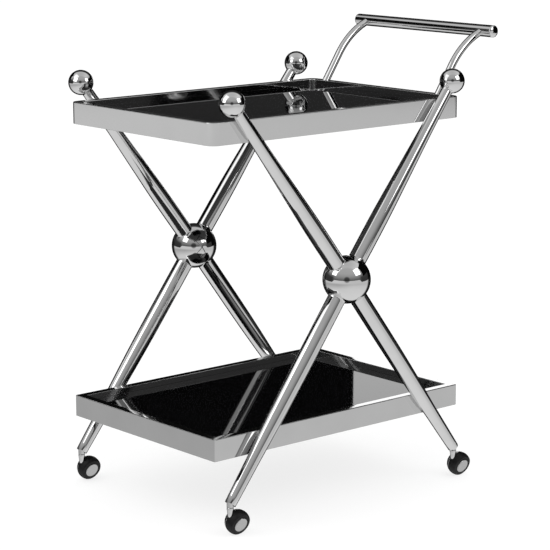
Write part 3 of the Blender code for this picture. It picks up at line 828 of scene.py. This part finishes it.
# Matt white studio floor, lit from below as well, so that it stays white under the trays, with
# 300 mm clouds that hardly show.
floor_paint, tree, shader = new_material("matt_white_floor", Roughness=0.9)
place = add_node(tree, "ShaderNodeTexCoord").outputs["Object"]
clouds = add_node(tree, "ShaderNodeTexNoise", {"Vector": place, "Scale": 3.0})
tone = add_node(tree, "ShaderNodeValToRGB", {"Fac": clouds.outputs["Fac"]})
tone.color_ramp.elements[0].color = srgb("#8A8A8A")
tone.color_ramp.elements[1].color = srgb("#8D8D8D")
link(tree, tone.outputs["Color"], shader, "Base Color")
shader.inputs["Specular IOR Level"].default_value = 0.0
shader.inputs["Emission Color"].default_value = (1, 1, 1, 1)
shader.inputs["Emission Strength"].default_value = FLOOR_GLOW
floor.data.materials.append(floor_paint)
floor.visible_glossy = False

# Black duvetyne, the brushed cotton that covers a studio's flags, which gives back almost
# nothing. Its nap is 5 mm tufts.
black_cloth, tree, shader = new_material("black_duvetyne", Roughness=1.0)
place = add_node(tree, "ShaderNodeTexCoord").outputs["Object"]
nap = add_node(tree, "ShaderNodeTexNoise", {"Vector": place, "Scale": 200.0})
tone = add_node(tree, "ShaderNodeValToRGB", {"Fac": nap.outputs["Fac"]})
tone.color_ramp.elements[0].color = srgb("#050505")
tone.color_ramp.elements[1].color = srgb("#0B0B0B")
link(tree, tone.outputs["Color"], shader, "Base Color")
shader.inputs["Specular IOR Level"].default_value = 0.0

TROLLEY_MIDDLE = Vector((-0.06, 0, 0.6))


def stand(azimuth, distance, height):
    """A heading and a place round the trolley, with its azimuth to the right from the camera's side."""
    heading = math.atan2(CAMERA_PLACE.y, CAMERA_PLACE.x) + math.radians(azimuth)
    return heading, Vector((distance * math.cos(heading), distance * math.sin(heading), height))


def soft_box(name, azimuth, distance, height, width, tall, radiance):
    """A softly glowing rectangle that faces the trolley."""
    place = stand(azimuth, distance, height)[1]
    data = bpy.data.lights.new(name, "AREA")
    data.shape = "RECTANGLE"
    data.size = width
    data.size_y = tall
    data.energy = radiance * math.pi * width * tall
    light = bpy.data.objects.new(name, data)
    bpy.context.collection.objects.link(light)
    light.location = place
    light.rotation_euler = (place - TROLLEY_MIDDLE).to_track_quat("Z", "Y").to_euler()
    light.visible_camera = False


def black_flag(name, azimuth, distance, bottom, top, width):
    """A matt black card off to one side, seen only in the mirror finishes, that edges them in black."""
    heading, place = stand(azimuth, distance, (bottom + top) / 2)
    bpy.ops.object.select_all(action="DESELECT")
    bpy.ops.mesh.primitive_plane_add(size=1, location=place, rotation=(math.pi / 2, 0, heading + math.pi / 2))
    card = bpy.context.object
    card.name = name
    card.scale = (width, top - bottom, 1)
    card.data.materials.append(black_cloth)
    card.visible_camera = False
    card.visible_shadow = False
    card.visible_diffuse = False


black_flag("right_flag", 96, 1.25, 0.72, 1.7, 0.85)
black_flag("far_right_flag", 132, 1.25, 0.35, 1.7, 0.85)
black_flag("far_left_flag", -120, 1.5, 1.02, 1.9, 1.1)
soft_box("key_box", 58, 2.0, 1.85, 1.1, 1.1, 2.2)
soft_box("left_box", -60, 1.35, 1.33, 0.70, 0.62, 1.8)
soft_box("high_left_box", -66, 1.7, 2.55, 1.6, 1.1, 0.75)
soft_box("handle_box", -106, 2.6, 1.9, 0.6, 0.8, 0.8)
soft_box("far_right_box", 170.5, 2.5, 0.74, 0.42, 0.5, 1.35)


# What the mirror finishes see of the room, as (height, linear grey), where the height goes from
# 0 straight down to 1 straight up. The two ends come first.
ROOM_GREYS = {
    "side_walls": ((0.0, 0.03), (1.0, 0.55), (0.53, 0.04), (0.60, 0.05), (0.70, 0.30), (0.8, 0.60),
                   (0.88, 0.75)),
    "front_walls": ((0.0, 0.1), (1.0, 0.50), (0.55, 0.12), (0.60, 0.20), (0.70, 0.36), (0.8, 0.46)),
    "floor_right": ((0.0, 0.84), (0.5, 0.66), (0.2, 0.80), (0.3, 0.74), (0.37, 0.62), (0.44, 0.67)),
    "floor_left": ((0.0, 0.84), (0.5, 0.74), (0.2, 0.76), (0.3, 0.58), (0.37, 0.46), (0.44, 0.74)),
    "far_end": ((0.0, 0.02), (1.0, 0.05), (0.5, 0.012), (0.54, 0.036), (0.58, 0.030), (0.62, 0.003)),
}
# The floor's edge, as the upward part of the direction that it is seen in.
EDGE_AT_SIDES = -0.114
EDGE_IN_FRONT = 0.06
EDGE_BLUR = 0.005
# Where one part of the room turns into the next, as the part of the direction towards the camera
# or, for the floor, to its right.
FRONT_FROM, FRONT_TO = 0.22, 0.5
FAR_FROM, FAR_TO = -0.40, -0.62
LEFT_END, RIGHT_END = -0.7, 0.5
# The dark of the camera and whoever stands behind it.
DARK_FROM, DARK_TO = 0.955, 0.99
DARK_GREY = 0.25
WHITE_ROOM = 1.02

world = bpy.data.worlds.new("studio")
bpy.context.scene.world = world
world.use_nodes = True
world.cycles.sampling_method = "NONE"
tree = world.node_tree
tree.nodes.clear()
heading = add_node(tree, "ShaderNodeTexCoord").outputs["Generated"]
parts = add_node(tree, "ShaderNodeSeparateXYZ", {"Vector": heading})
height = add_node(tree, "ShaderNodeMapRange", {"Value": parts.outputs["Z"],
                                               "From Min": -1.0}).outputs["Result"]
greys = {}
for name, stops in ROOM_GREYS.items():
    ramp = add_node(tree, "ShaderNodeValToRGB", {"Fac": height})
    elements = ramp.color_ramp.elements
    for index, (position, value) in enumerate(stops):
        element = elements[index] if index < 2 else elements.new(position)
        element.position = position
        element.color = (value, value, value, 1)
    greys[name] = ramp.outputs["Color"]

to_camera = (-math.sin(CAMERA_YAW), -math.cos(CAMERA_YAW), 0.0)
facing = add_node(tree, "ShaderNodeVectorMath", {0: heading, 1: to_camera},
                  operation="DOT_PRODUCT").outputs["Value"]
# The pale floor reaches higher in front of the trolley than at its sides.
front = add_node(tree, "ShaderNodeMapRange", {"Value": facing, "From Min": FRONT_FROM, "From Max": FRONT_TO},
                 interpolation_type="SMOOTHSTEP").outputs["Result"]
edge = add_node(tree, "ShaderNodeMapRange", {"Value": front, "To Min": EDGE_AT_SIDES,
                                             "To Max": EDGE_IN_FRONT}).outputs["Result"]
over = add_node(tree, "ShaderNodeMath", {0: parts.outputs["Z"], 1: edge}, operation="SUBTRACT")
below = add_node(tree, "ShaderNodeMapRange",
                 {"Value": over.outputs["Value"], "From Min": -EDGE_BLUR, "From Max": EDGE_BLUR,
                  "To Min": 1.0, "To Max": 0.0}).outputs["Result"]
walls = add_node(tree, "ShaderNodeMix", {"Factor": front, 6: greys["side_walls"], 7: greys["front_walls"]},
                 data_type="RGBA").outputs[2]
to_right = (math.cos(CAMERA_YAW), -math.sin(CAMERA_YAW), 0.0)
right = add_node(tree, "ShaderNodeVectorMath", {0: heading, 1: to_right},
                 operation="DOT_PRODUCT").outputs["Value"]
rightness = add_node(tree, "ShaderNodeMapRange", {"Value": right, "From Min": LEFT_END,
                                                  "From Max": RIGHT_END}).outputs["Result"]
pale_floor = add_node(tree, "ShaderNodeMix",
                      {"Factor": rightness, 6: greys["floor_left"], 7: greys["floor_right"]},
                      data_type="RGBA").outputs[2]
near_side = add_node(tree, "ShaderNodeMix", {"Factor": below, 6: walls, 7: pale_floor},
                     data_type="RGBA").outputs[2]
far = add_node(tree, "ShaderNodeMapRange", {"Value": facing, "From Min": FAR_FROM, "From Max": FAR_TO},
               interpolation_type="SMOOTHSTEP").outputs["Result"]
surround = add_node(tree, "ShaderNodeMix", {"Factor": far, 6: near_side, 7: greys["far_end"]},
                    data_type="RGBA").outputs[2]
camera_way = (CAMERA_PLACE - Vector((0, 0, TROLLEY_MIDDLE.z))).normalized()
camera_dot = add_node(tree, "ShaderNodeVectorMath", {0: heading, 1: camera_way}, operation="DOT_PRODUCT")
camera_dark = add_node(tree, "ShaderNodeMapRange",
                       {"Value": camera_dot.outputs["Value"], "From Min": DARK_FROM, "From Max": DARK_TO,
                        "To Min": 1.0, "To Max": DARK_GREY}, interpolation_type="SMOOTHSTEP")
room = add_node(tree, "ShaderNodeBackground", {"Color": surround, "Strength": camera_dark.outputs["Result"]})
white = add_node(tree, "ShaderNodeBackground", {"Color": (1, 1, 1, 1), "Strength": WHITE_ROOM})
path = add_node(tree, "ShaderNodeLightPath").outputs
plain = add_node(tree, "ShaderNodeMath", {0: path["Is Camera Ray"], 1: path["Is Diffuse Ray"]},
                 operation="MAXIMUM")
mix = add_node(tree, "ShaderNodeMixShader", {"Fac": plain.outputs["Value"], 1: room.outputs["Background"],
                                             2: white.outputs["Background"]})
add_node(tree, "ShaderNodeOutputWorld", {"Surface": mix.outputs["Shader"]})
bpy.context.scene.view_settings.view_transform = "Standard"
